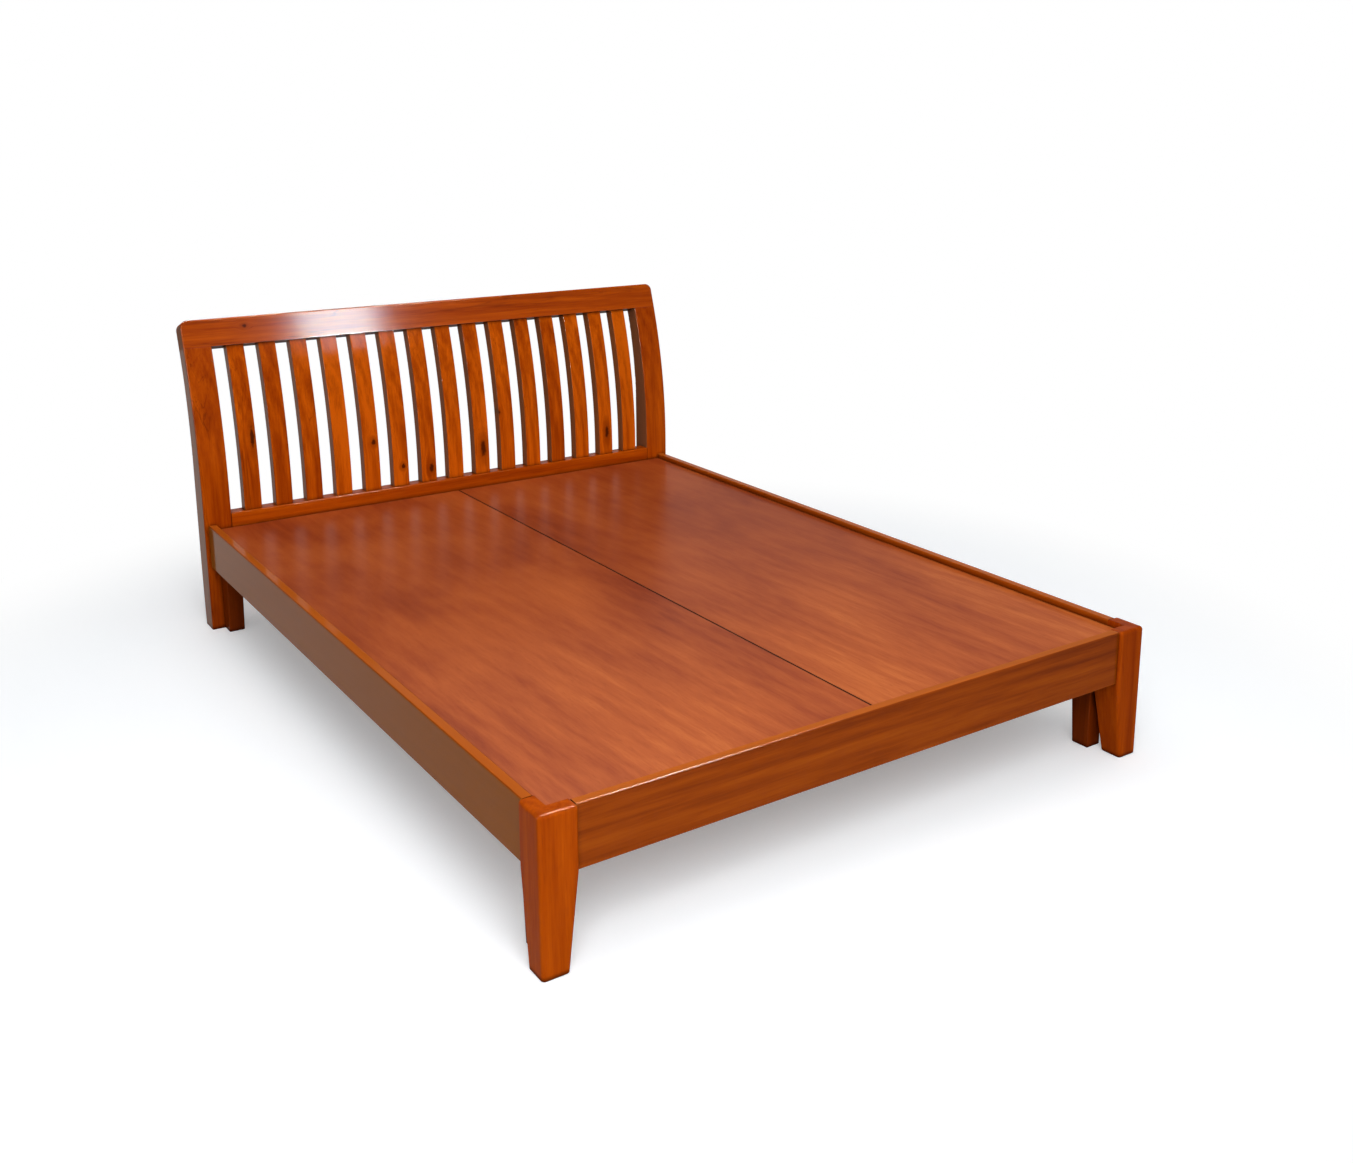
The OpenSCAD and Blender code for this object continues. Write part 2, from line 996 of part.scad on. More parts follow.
module deck_panel_right() {
    color(ply)
        placed()
            deck_panel();
}

module batten_left_1() batten_left(1);
module batten_left_2() batten_left(2);
module batten_left_3() batten_left(3);
module batten_left_4() batten_left(4);
module batten_right_1() batten_right(1);
module batten_right_2() batten_right(2);
module batten_right_3() batten_right(3);
module batten_right_4() batten_right(4);

module bed_bolts() {
    color(zinc)
        placed()
            at_bolts()
                translate([0, 0, -washer_t])
                    difference() {
                        rotate_extrude()
                            polygon([[0, -bolt_head_h], [bolt_head_d / 2 - bolt_edge, -bolt_head_h],
                                [bolt_head_d / 2, bolt_edge - bolt_head_h], [bolt_head_d / 2, 0],
                                [bolt_d / 2, 0], [bolt_d / 2, bolt_l - bolt_edge],
                                [bolt_d / 2 - bolt_edge, bolt_l], [0, bolt_l]]);
                        translate([0, 0, -bolt_head_h - over])
                            linear_extrude(hex_h + over)
                                circle(d = hex_d, $fn = 6);
                    }
}

module bolt_washers() {
    color(zinc)
        placed()
            at_bolts()
                translate([0, 0, -washer_t])
                    difference() {
                        cylinder(h = washer_t, d = washer_d);
                        translate([0, 0, -over])
                            cylinder(h = washer_t + 2 * over, d = bolt_d + 2 * bore_fit);
                    }
}

module thread_inserts() {
    color(brass)
        placed()
            at_bolts()
                translate([0, 0, rail_leg_d])
                    rotate_extrude()
                        polygon([[bolt_d / 2 + bore_fit, 0], [insert_d / 2, 0],
                            [insert_d / 2, insert_l - insert_edge],
                            [insert_d / 2 - insert_edge, insert_l],
                            [bolt_d / 2 + bore_fit, insert_l]]);
}

module ledger_screws() {
    color(zinc)
        placed() {
            at_side_ledger()
                screw(ledger_screw_l);
            left_hand()
                at_side_ledger()
                    screw(ledger_screw_l);
            at_foot_ledger()
                screw(ledger_screw_l);
            at_head_ledger()
                screw(ledger_screw_l);
        }
}

module rail_leg_screws() {
    color(zinc)
        placed() {
            at_rail_leg_screws()
                screw(leg_screw_l);
            left_hand()
                at_rail_leg_screws()
                    screw(leg_screw_l);
        }
}

module cradle_screws() {
    color(zinc)
        placed() {
            at_foot_cradle()
                screw(ledger_screw_l);
            at_head_cradle()
                screw(ledger_screw_l);
        }
}

module batten_screws_left() {
    color(zinc)
        placed()
            left_hand()
                at_battens()
                    screw(batten_screw_l);
}

module batten_screws_right() {
    color(zinc)
        placed()
            at_battens()
                screw(batten_screw_l);
}

headboard_post_left();
headboard_post_right();
top_rail();
lower_rail();
slat_01();
slat_02();
slat_03();
slat_04();
slat_05();
slat_06();
slat_07();
slat_08();
slat_09();
slat_10();
slat_11();
slat_12();
slat_13();
slat_14();
slat_15();
foot_leg_left();
foot_leg_right();
foot_rail();
side_rail_left();
side_rail_right();
rail_leg_foot_left();
rail_leg_foot_right();
rail_leg_head_left();
rail_leg_head_right();
ledger_left();
ledger_right();
ledger_foot();
ledger_head();
centre_beam();
beam_cradle_foot();
beam_cradle_head();
beam_leg_foot();
beam_leg_head();
deck_panel_left();
deck_panel_right();
batten_left_1();
batten_left_2();
batten_left_3();
batten_left_4();
batten_right_1();
batten_right_2();
batten_right_3();
batten_right_4();
bed_bolts();
bolt_washers();
thread_inserts();
ledger_screws();
rail_leg_screws();
cradle_screws();
batten_screws_left();
batten_screws_right();
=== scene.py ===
import math

import bpy
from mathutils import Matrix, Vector

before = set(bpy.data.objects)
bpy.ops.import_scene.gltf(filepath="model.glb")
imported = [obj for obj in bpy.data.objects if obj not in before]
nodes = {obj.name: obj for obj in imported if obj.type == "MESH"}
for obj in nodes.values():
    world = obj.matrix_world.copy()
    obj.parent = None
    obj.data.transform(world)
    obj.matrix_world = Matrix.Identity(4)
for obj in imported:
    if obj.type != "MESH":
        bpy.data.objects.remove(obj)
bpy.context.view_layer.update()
print("frame loaded,", len(nodes), "nodes")


# the camera stands in front of the foot end, to the left
camera = {
    "place": (-1.782, -3.0464, 1.496),  # metres
    "turn": -34.40,  # degrees, to the right of straight at the headboard
    "dip": 12.67,
    "imageWide": 1353,
    "imageHigh": 1163,
    "focal": 1376.0,  # image pixels
    "axis": (703.0, 424.0),  # the pixel that the lens looks straight at
    "sensor": 36,  # millimetres
    "clipEnd": 60,
}


def placeCamera(values):
    lens = bpy.data.cameras.new("camera")
    lens.sensor_width = values["sensor"]
    lens.lens = values["focal"] / values["imageWide"] * lens.sensor_width
    lens.shift_x = (values["imageWide"] / 2 - values["axis"][0]) / values["imageWide"]
    lens.shift_y = (values["axis"][1] - values["imageHigh"] / 2) / values["imageWide"]
    lens.clip_end = values["clipEnd"]
    stand = bpy.data.objects.new("camera", lens)
    stand.location = values["place"]
    stand.rotation_euler = (math.radians(90 - values["dip"]), 0, math.radians(values["turn"]))
    bpy.context.scene.collection.objects.link(stand)
    bpy.context.scene.camera = stand


placeCamera(camera)
print("camera placed")


def addNode(tree, kind, inputs=None, **settings):
    made = tree.nodes.new(kind)
    for name, value in settings.items():
        setattr(made, name, value)
    for name, value in (inputs or {}).items():
        if isinstance(value, bpy.types.NodeSocket):
            tree.links.new(value, made.inputs[name])
        else:
            made.inputs[name].default_value = value
    return made


def calculate(tree, operation, first, second=0.0):
    return addNode(tree, "ShaderNodeMath", {0: first, 1: second}, operation=operation).outputs[0]


def vectorMath(tree, operation, first, second=(0, 0, 0)):
    return addNode(tree, "ShaderNodeVectorMath", {0: first, 1: second}, operation=operation).outputs


def axisOf(tree, vector, axis):
    return addNode(tree, "ShaderNodeSeparateXYZ", {0: vector}).outputs[axis]


def blendColour(tree, factor, first, second):
    return addNode(tree, "ShaderNodeMix", {0: factor, 6: first, 7: second}, data_type="RGBA").outputs[2]


def smoothStep(tree, value, low, high, start=0.0, end=1.0):
    ends = {"Value": value, "From Min": low, "From Max": high, "To Min": start, "To Max": end}
    return addNode(tree, "ShaderNodeMapRange", ends, interpolation_type="SMOOTHSTEP").outputs[0]


# every noise in the dictionaries below is given as its scale, detail, roughness and distortion
def addNoise(tree, place, scale, detail, roughness=0.5, distortion=0.0):
    values = {"Vector": place, "Scale": scale, "Detail": detail, "Roughness": roughness}
    return addNode(tree, "ShaderNodeTexNoise", {**values, "Distortion": distortion}).outputs[0]


def newGroup(name, takes, gives):
    group = bpy.data.node_groups.new(name, "ShaderNodeTree")
    for label, kind, value in takes:
        socket = group.interface.new_socket(label, in_out="INPUT", socket_type="NodeSocket" + kind)
        if value is not None:
            socket.default_value = value
    for label, kind in gives:
        group.interface.new_socket(label, in_out="OUTPUT", socket_type="NodeSocket" + kind)
    return group, group.nodes.new("NodeGroupInput").outputs, group.nodes.new("NodeGroupOutput").inputs


def useGroup(tree, group, inputs=None):
    return addNode(tree, "ShaderNodeGroup", inputs, node_tree=group).outputs


# the figure of a board, drawn out along the grain: wide soft bands, streaks, fine lines,
# ripples where the growth rings run out, thin dark veins in patches, and open pores
figure = {
    "layers": {
        "band": {"noise": (6.0, 2.0, 0.50, 0.6), "span": (0.28, 0.72), "weight": 0.30},
        "streak": {"noise": (46.0, 4.0, 0.60, 0.5), "span": (0.25, 0.75), "weight": 0.30},
        "line": {"noise": (190.0, 3.0, 0.65, 0.2), "span": (0.25, 0.75), "weight": 0.22},
    },
    "ripple": {
        "Scale": 15.0, "Distortion": 7.0, "Detail": 2.0,
        "Detail Scale": 1.4, "Detail Roughness": 0.5,
    },
    "rippleWeight": 0.18,
    "vein": {"noise": (15.0, 4.0, 0.5, 1.2), "width": 0.012},
    "veinPatch": {"noise": (8.0, 1.0), "span": (0.50, 0.66)},
    "pore": {"noise": (520.0, 2.0), "span": (0.60, 0.72)},
    "toneHeight": 0.5,
    "poreHeight": 0.5,
}


def makeFigureGroup(values):
    group, given, made = newGroup(
        "boardFigure",
        [("Place", "Vector", None), ("Veins", "Float", 1.0)],
        [("Tone", "Float"), ("Vein", "Float"), ("Pore", "Float"), ("Height", "Float")],
    )
    place = given["Place"]

    def found(layer):
        return smoothStep(group, addNoise(group, place, *layer["noise"]), *layer["span"])

    tone = 0.0
    for layer in values["layers"].values():
        tone = calculate(group, "ADD", tone, calculate(group, "MULTIPLY", found(layer), layer["weight"]))
    ripple = {"Vector": place, **values["ripple"]}
    ripple = addNode(group, "ShaderNodeTexWave", ripple, bands_direction="DIAGONAL").outputs["Fac"]
    ripple = calculate(group, "MULTIPLY", ripple, values["rippleWeight"])
    tone = calculate(group, "ADD", tone, ripple)
    crossing = calculate(group, "SUBTRACT", addNoise(group, place, *values["vein"]["noise"]), 0.5)
    crossing = calculate(group, "ABSOLUTE", crossing)
    vein = smoothStep(group, crossing, 0.0, values["vein"]["width"], 1.0, 0.0)
    vein = calculate(group, "MULTIPLY", vein, found(values["veinPatch"]))
    vein = calculate(group, "MULTIPLY", vein, given["Veins"])
    pore = found(values["pore"])
    height = calculate(group, "MULTIPLY", tone, values["toneHeight"])
    height = calculate(group, "SUBTRACT", height, calculate(group, "MULTIPLY", pore, values["poreHeight"]))
    for label, source in (("Tone", tone), ("Vein", vein), ("Pore", pore), ("Height", height)):
        group.links.new(source, made[label])
    return group


# arrises: where the surface turns within a few millimetres
arrisTurn = {"reach": 0.004, "span": (0.985, 0.80), "samples": 4}


def makeArrisGroup(values):
    group, given, made = newGroup("arris", [("Reach", "Float", values["reach"])], [("Mask", "Float")])
    rounded = addNode(group, "ShaderNodeBevel", {"Radius": given["Reach"]}, samples=values["samples"])
    flat = addNode(group, "ShaderNodeNewGeometry").outputs["Normal"]
    turn = vectorMath(group, "DOT_PRODUCT", rounded.outputs[0], flat)["Value"]
    group.links.new(smoothStep(group, turn, *values["span"]), made["Mask"])
    return group


# painted shade in crevices: the colour is darkened where another surface comes within a few millimetres
creviceShadeDepth = {"reach": 0.012, "span": (0.96, 0.42), "samples": 4}


def makeCreviceShadeGroup(values):
    group, given, made = newGroup("creviceShade", [("Reach", "Float", values["reach"])], [("Mask", "Float")])
    nearness = {"Distance": given["Reach"]}
    openness = addNode(group, "ShaderNodeAmbientOcclusion", nearness, samples=values["samples"])
    group.links.new(smoothStep(group, openness.outputs["AO"], *values["span"]), made["Mask"])
    return group


# a knot on the face of a board: a dark eye, a ring round it, and grain that flows past;
# its parts are in multiples of the knot's own size, the push in metres
knotShape = {
    "wobble": (90.0, 3.0, 0.6),
    "wobbleDepth": 1.1,
    "eye": (1.1, 0.45),
    "ring": (2.6, 1.0),
    "flow": 4.0,
    "push": -0.010,
}


def makeKnotGroup(values):
    group, given, made = newGroup(
        "knot",
        [("Place", "Vector", None), ("Centre", "Vector", None), ("Size", "Vector", (0.010, 1.0, 0.014))],
        [("Place", "Vector"), ("Eye", "Float"), ("Ring", "Float")],
    )
    away = vectorMath(group, "SUBTRACT", given["Place"], given["Centre"])["Vector"]
    away = vectorMath(group, "DIVIDE", away, given["Size"])["Vector"]
    wobble = calculate(group, "SUBTRACT", addNoise(group, given["Place"], *values["wobble"]), 0.5)
    wobble = calculate(group, "MULTIPLY", wobble, values["wobbleDepth"])
    reach = calculate(group, "ADD", vectorMath(group, "LENGTH", away)["Value"], wobble)
    near = smoothStep(group, reach, 0.0, values["flow"], 1.0, 0.0)
    near = calculate(group, "MULTIPLY", near, values["push"])
    push = addNode(group, "ShaderNodeVectorMath", {0: away, "Scale": near}, operation="SCALE").outputs[0]
    group.links.new(vectorMath(group, "ADD", given["Place"], push)["Vector"], made["Place"])
    group.links.new(smoothStep(group, reach, *values["eye"]), made["Eye"])
    group.links.new(smoothStep(group, reach, *values["ring"]), made["Ring"])
    return group


figureGroup = makeFigureGroup(figure)
arrisGroup = makeArrisGroup(arrisTurn)
creviceShadeGroup = makeCreviceShadeGroup(creviceShadeDepth)
knotGroup = makeKnotGroup(knotShape)
print("shader groups built")


def startMaterial(name):
    material = bpy.data.materials.new(name)
    material.use_nodes = True
    tree = material.node_tree
    return material, tree, tree.nodes["Principled BSDF"]


def stretch(tree, place, shift, scale):
    ways = {"Vector": place, "Location": shift, "Scale": scale}
    return addNode(tree, "ShaderNodeMapping", ways).outputs[0]


# the way that a board's grain runs, and how far it is drawn out that way
grainStretch = {
    "x": (0.045, 1.0, 1.0),
    "y": (1.0, 0.045, 1.0),
    "z": (1.0, 1.0, 0.045),
    "sheet": (0.72, 0.075, 0.72),
}


def useFigure(tree, place, values):
    along = stretch(tree, place, values["shift"], grainStretch[values["run"]])
    return useGroup(tree, figureGroup, {"Place": along, "Veins": values["veins"]})


def rampColour(tree, tone, stops):
    ramp = addNode(tree, "ShaderNodeValToRGB", {0: tone})
    points = ramp.color_ramp.elements
    while len(points) < len(stops):
        points.new(0.5)
    for point, (position, colour) in zip(points, stops):
        point.position = position
        point.color = (*colour, 1)
    return ramp.outputs[0]


# a colour laid over the colour so far, where the mask is; it lays both stains and painted shade and
# highlights
def cover(tree, colour, mask, amount, paint):
    return blendColour(tree, calculate(tree, "MULTIPLY", mask, amount), colour, (*paint, 1))


def markGrain(tree, colour, made, values):
    colour = cover(tree, colour, made["Pore"], values["poreAmount"], values["pore"])
    return cover(tree, colour, made["Vein"], values["veinAmount"], values["vein"])


def addBump(tree, shader, height, strength, distance):
    bump = addNode(tree, "ShaderNodeBump", {"Height": height, "Strength": strength, "Distance": distance})
    tree.links.new(bump.outputs[0], shader.inputs["Normal"])


figureSpan = (0.2, 0.9)  # the tones between which a wood goes from its rougher to its smoother value
flatSpan = (0.50, 0.82)  # how far the surface turns away before its lacquer shines more


def dressWood(tree, shader, colour, tone, height, values):
    tree.links.new(colour, shader.inputs["Base Color"])
    tree.links.new(smoothStep(tree, tone, *figureSpan, *values["roughness"]), shader.inputs["Roughness"])
    shader.inputs["Specular IOR Level"].default_value = values["specular"]
    addBump(tree, shader, height, *values["bump"])


# a lacquer shines more at a flat angle: gloss is its weight seen square on, edgeGloss edge on
def shine(tree, shader, values, creviceShade, edge=0.0):
    facing = addNode(tree, "ShaderNodeLayerWeight", {"Blend": 0.5}).outputs["Facing"]
    weight = smoothStep(tree, facing, *flatSpan, values["gloss"], values["edgeGloss"])
    weight = calculate(tree, "MAXIMUM", weight, edge)
    weight = calculate(tree, "MULTIPLY", weight, calculate(tree, "SUBTRACT", 1.0, creviceShade))
    tree.links.new(weight, shader.inputs["Coat Weight"])
    shader.inputs["Coat Roughness"].default_value = values["glossBlur"]


# the faces of a piece that look one way, to take painted light and shade: to either side, outwards from
# the bed's middle, up or down
def faceMask(tree, coordinates, direction, amount):
    if direction == "side":
        turned = calculate(tree, "ABSOLUTE", axisOf(tree, coordinates["Normal"], "X"))
    elif direction == "outer":
        half = calculate(tree, "SIGN", axisOf(tree, coordinates["Object"], "X"))
        turned = calculate(tree, "MULTIPLY", axisOf(tree, coordinates["Normal"], "X"), half)
    elif direction == "up":
        turned = axisOf(tree, coordinates["Normal"], "Z")
    else:
        turned = calculate(tree, "MULTIPLY", axisOf(tree, coordinates["Normal"], "Z"), -1.0)
    turnSpan = (0.80, 0.94)
    return smoothStep(tree, turned, *turnSpan, 0.0, amount)


# the glossy orange-brown lacquer over hardwood
lacquer = {
    "stops": (
        (0.12, (0.230, 0.027, 0.0005)), (0.36, (0.320, 0.044, 0.0007)),
        (0.60, (0.410, 0.064, 0.0010)), (0.95, (0.570, 0.100, 0.0022)),
    ),
    "tone": 0.5,  # where among the stops the board's middle tone lies
    "contrast": 0.7,
    "veins": 0.5,
    "shift": (0, 0, 0),  # metres into the figure
    "pore": (0.200, 0.026, 0.0006), "poreAmount": 0.30,
    "vein": (0.120, 0.014, 0.0006), "veinAmount": 0.60,
    "knot": (0.050, 0.007, 0.0006), "knotAmount": 0.90, "ringAmount": 0.55,
    "knots": (),  # for each knot, where its eye is and how large it is
    # the arrises take a dark line of painted shade, and the crevices painted shade
    "arris": (0.150, 0.018, 0.0006), "arrisAmount": 0.25,
    "creviceShade": (0.030, 0.005, 0.0004), "creviceShadeAmount": 0.80,
    "contactShade": 0.013, "contactShadeAmount": 0.85,  # metres above the floor over which a painted shadow darkens the piece where it stands on the floor
    "faces": (),  # for faces that look one way, the way, the painted light and shade that they get, and how much of it
    "roughness": (0.48, 0.36),
    "specular": 0.0,
    "gloss": 0.035,
    "edgeGloss": 0.34,
    "arrisGloss": 0.34,
    "glossBlur": 0.10,
    "bump": (0.14, 0.0005),
}


def lacquerWood(name, values):
    material, tree, shader = startMaterial(name)
    coordinates = addNode(tree, "ShaderNodeTexCoord").outputs
    place = coordinates["Object"]
    above = axisOf(tree, place, "Z")
    knots = []
    for centre, size in values["knots"]:
        knots.append(useGroup(tree, knotGroup, {"Place": place, "Centre": centre, "Size": size}))
        place = knots[-1]["Place"]
    made = useFigure(tree, place, values)
    spread = calculate(tree, "SUBTRACT", made["Tone"], 0.5)
    spread = calculate(tree, "MULTIPLY", spread, values["contrast"])
    colour = rampColour(tree, calculate(tree, "ADD", spread, values["tone"]), values["stops"])
    colour = markGrain(tree, colour, made, values)
    for knot in knots:
        colour = cover(tree, colour, knot["Ring"], values["ringAmount"], values["pore"])
        colour = cover(tree, colour, knot["Eye"], values["knotAmount"], values["knot"])
    # a painted dark line of shade along the arrises; on the rails a lighter one, a painted highlight
    arris = useGroup(tree, arrisGroup)["Mask"]
    colour = cover(tree, colour, arris, values["arrisAmount"], values["arris"])
    # painted shade in the crevices, where another surface comes near
    creviceShade = useGroup(tree, creviceShadeGroup)["Mask"]
    colour = cover(tree, colour, creviceShade, values["creviceShadeAmount"], values["creviceShade"])
    # a painted shadow along the foot where it stands on the floor, in the knot's colour
    contactShade = smoothStep(tree, above, 0.0, values["contactShade"], values["contactShadeAmount"], 0.0)
    colour = blendColour(tree, contactShade, colour, (*values["knot"], 1))
    # painted light and shade on the faces that look one way
    for direction, paint, amount in values["faces"]:
        colour = blendColour(tree, faceMask(tree, coordinates, direction, amount), colour, (*paint, 1))
    dressWood(tree, shader, colour, made["Tone"], made["Height"], values)
    shine(tree, shader, values, creviceShade, calculate(tree, "MULTIPLY", arris, values["arrisGloss"]))
    return material


def finish(material, *names):
    for name in names:
        nodes[name].material_slots[0].material = material


sideShadeAndSheen = ("side", (0.200, 0.082, 0.032), 0.80)  # the headboard's boards are painted darker and greyer at their sides: painted shade and painted sheen

# each slat is its own board: how light it is, and its knots
slats = {
    "tones": [0.54, 0.58, 0.66, 0.72, 0.74, 0.76, 0.74, 0.76, 0.70, 0.76, 0.72, 0.68, 0.74, 0.78, 0.90],
    "knots": {
        1: [((-0.642, 0.983, 0.564), (0.007, 1.0, 0.034))],
        5: [((-0.272, 0.976, 0.500), (0.008, 1.0, 0.011))],
        6: [((-0.180, 0.971, 0.410), (0.007, 1.0, 0.009))],
        7: [((-0.085, 0.971, 0.392), (0.009, 1.0, 0.018))],
        9: [((0.098, 0.972, 0.431), (0.011, 1.0, 0.032))],
        10: [((0.163, 0.980, 0.543), (0.006, 1.0, 0.008))],
        14: [((0.566, 0.972, 0.424), (0.008, 1.0, 0.026))],
    },
    "shiftStep": 0.31,
    "wood": {
        **lacquer, "run": "z", "contrast": 1.35, "veins": 0.8,
        "arrisAmount": 0.62, "faces": [sideShadeAndSheen], "gloss": 0.010,
    },
}
for number, tone in enumerate(slats["tones"], 1):
    board = {**slats["wood"], "tone": tone, "knots": slats["knots"].get(number, ())}
    board["shift"] = (0, 0, slats["shiftStep"] * number)
    finish(lacquerWood("slatWood%02d" % number, board), "slat_%02d" % number)

post = {
    **lacquer, "run": "z", "tone": 0.42, "contrast": 1.05, "veins": 0.9,
    "arrisAmount": 0.40, "faces": [sideShadeAndSheen],
}
finish(lacquerWood("postWood", post), "headboard_post_left", "headboard_post_right")

topRail = {
    **lacquer, "run": "x", "tone": 0.46, "contrast": 1.05, "veins": 1.0,
    "knots": [((-0.622, 1.051, 0.887), (0.008, 1.0, 0.006))],
    # its sides take painted shade and sheen, and its underside a painted shadow
    "faces": [sideShadeAndSheen, ("down", (0.060, 0.024, 0.010), 0.90)],
    "gloss": 0.06, "edgeGloss": 0.10,
}
finish(lacquerWood("topRailWood", topRail), "top_rail")

lowerRail = {**lacquer, "run": "x", "tone": 0.44, "contrast": 1.0}
finish(lacquerWood("lowerRailWood", lowerRail), "lower_rail")
print("headboard finished")

footLeg = {
    **lacquer, "run": "z", "tone": 0.43, "contrast": 0.8, "veins": 0.4,
    "arrisAmount": 0.65, "arrisGloss": 0.20, "edgeGloss": 0.22,
}
finish(lacquerWood("footLegWood", footLeg), "foot_leg_left", "foot_leg_right")

# the rails are browner than the headboard, and their arrises are painted lighter: a painted highlight
rail = {
    **lacquer,
    "stops": (
        (0.12, (0.135, 0.019, 0.0006)), (0.40, (0.235, 0.038, 0.0010)),
        (0.65, (0.320, 0.060, 0.0020)), (0.95, (0.430, 0.098, 0.0040)),
    ),
    "arris": (0.600, 0.165, 0.0080), "arrisAmount": 0.50,
}

footRail = {
    **rail, "run": "x", "tone": 0.38, "contrast": 0.75,
    # its top face is painted lighter: painted light
    "faces": [("up", (0.560, 0.135, 0.014), 0.60)],
    "gloss": 0.085, "edgeGloss": 0.12, "arrisGloss": 0.26,
}
finish(lacquerWood("footRailWood", footRail), "foot_rail")

sideRail = {
    **rail, "run": "y", "tone": 0.46, "contrast": 0.6, "veins": 0.2,
    # the top faces are painted lighter as painted light, the outer faces darker and greyer as painted
    # shade and sheen
    "faces": [("up", (0.520, 0.120, 0.012), 0.55), ("outer", (0.285, 0.094, 0.014), 0.80)],
    "arrisGloss": 0.16,
}
finish(lacquerWood("sideRailWood", sideRail), "side_rail_left", "side_rail_right")

# the rail legs under the bed are painted darker: painted shade, a shaded copy of the lacquer
railLeg = {
    **lacquer, "run": "z", "tone": 0.30,
    "stops": ((0.12, (0.120, 0.016, 0.0006)), (0.90, (0.300, 0.044, 0.0012))),
}
railLegs = ["rail_leg_%s_%s" % (end, side) for end in ("foot", "head") for side in ("left", "right")]
finish(lacquerWood("railLegWood", railLeg), *railLegs)
print("legs and rails finished")


# the deck's reddish satin plywood: clouded figure, and its plies showing at the edges
plywood = {
    "run": "sheet",
    "stops": (
        (0.12, (0.225, 0.030, 0.0045)), (0.38, (0.340, 0.060, 0.0095)),
        (0.62, (0.425, 0.086, 0.0145)), (0.90, (0.540, 0.130, 0.0230)),
    ),
    "fade": (-0.95, 0.30),  # metres along the bed, between which the two values below change
    "tone": (0.48, 0.36),  # darker towards the head: painted shade
    "streakWeight": (0.66, 0.22),  # and plainer
    "cloud": (4.2, 5.0, 0.55, 0.4), "cloudSpan": (0.25, 0.75), "cloudWeight": 0.38,
    "cloudStretch": (1.0, 0.42, 1.0),
    "veins": 0.30,
    "pore": (0.180, 0.026, 0.003), "poreAmount": 0.20,
    "vein": (0.170, 0.024, 0.003), "veinAmount": 0.30,
    "ply": 0.0021, "plySpan": (0.45, 0.55),  # a ply's thickness in metres, and where in it the next begins
    "plyPale": (0.420, 0.200, 0.085), "plyDeep": (0.200, 0.085, 0.032), "edgeSpan": (0.35, 0.25),
    "creviceShade": (0.030, 0.006, 0.0010), "creviceShadeAmount": 0.85,
    "roughness": (0.55, 0.45),
    "specular": 0.0,
    "gloss": 0.17,
    "edgeGloss": 0.19,
    "glossBlur": 0.26,
    "bump": (0.25, 0.0005),
}


def plyEdges(tree, colour, coordinates, values):
    low, high = (share * values["ply"] for share in values["plySpan"])
    step = calculate(tree, "PINGPONG", axisOf(tree, coordinates["Object"], "Z"), values["ply"])
    pale, deep = (*values["plyPale"], 1), (*values["plyDeep"], 1)
    plies = blendColour(tree, smoothStep(tree, step, low, high), pale, deep)
    level = calculate(tree, "ABSOLUTE", axisOf(tree, coordinates["Normal"], "Z"))
    return blendColour(tree, smoothStep(tree, level, *values["edgeSpan"]), colour, plies)


def plywoodSheet(name, values):
    material, tree, shader = startMaterial(name)
    coordinates = addNode(tree, "ShaderNodeTexCoord").outputs
    place = coordinates["Object"]
    made = useFigure(tree, place, values)
    cloud = addNoise(tree, stretch(tree, place, values["shift"], values["cloudStretch"]), *values["cloud"])
    cloud = calculate(tree, "SUBTRACT", smoothStep(tree, cloud, *values["cloudSpan"]), 0.5)
    cloud = calculate(tree, "MULTIPLY", cloud, values["cloudWeight"])
    along = axisOf(tree, place, "Y")
    weight = smoothStep(tree, along, *values["fade"], *values["streakWeight"])
    streaks = calculate(tree, "MULTIPLY", calculate(tree, "SUBTRACT", made["Tone"], 0.5), weight)
    tone = calculate(tree, "ADD", cloud, streaks)
    tone = calculate(tree, "ADD", tone, smoothStep(tree, along, *values["fade"], *values["tone"]))
    colour = markGrain(tree, rampColour(tree, tone, values["stops"]), made, values)
    colour = plyEdges(tree, colour, coordinates, values)
    # the deck's arrises and crevices are painted darker: painted shade
    arris = useGroup(tree, arrisGroup)["Mask"]
    colour = cover(tree, colour, arris, values["creviceShadeAmount"], values["creviceShade"])
    creviceShade = useGroup(tree, creviceShadeGroup)["Mask"]
    colour = cover(tree, colour, creviceShade, values["creviceShadeAmount"], values["creviceShade"])
    dressWood(tree, shader, colour, tone, made["Height"], values)
    shine(tree, shader, values, creviceShade)
    return material


deck = {
    "Left": {**plywood, "shift": (0, 0, 0)},
    "Right": {**plywood, "shift": (3.0, 0, 0), "tone": (0.60, 0.31)},
}
for side, sheet in deck.items():
    finish(plywoodSheet("deck%sPlywood" % side, sheet), "deck_panel_" + side.lower())
print("deck finished")


# the pale unfinished wood that carries the deck
support = {
    "stops": (
        (0.10, (0.330, 0.190, 0.085)), (0.45, (0.480, 0.310, 0.155)), (0.90, (0.620, 0.440, 0.245)),
    ),
    "veins": 0.5,
    "shift": (0, 0, 0),
    "pore": (0.24, 0.13, 0.06), "poreAmount": 0.30,
    "vein": (0.24, 0.13, 0.06), "veinAmount": 0.50,
    "creviceShade": (0.045, 0.018, 0.008), "creviceShadeAmount": 0.90, "creviceShadeReach": 0.025,
    "roughness": (0.72, 0.60),
    "specular": 0.2,
    "bump": (0.5, 0.0012),
}


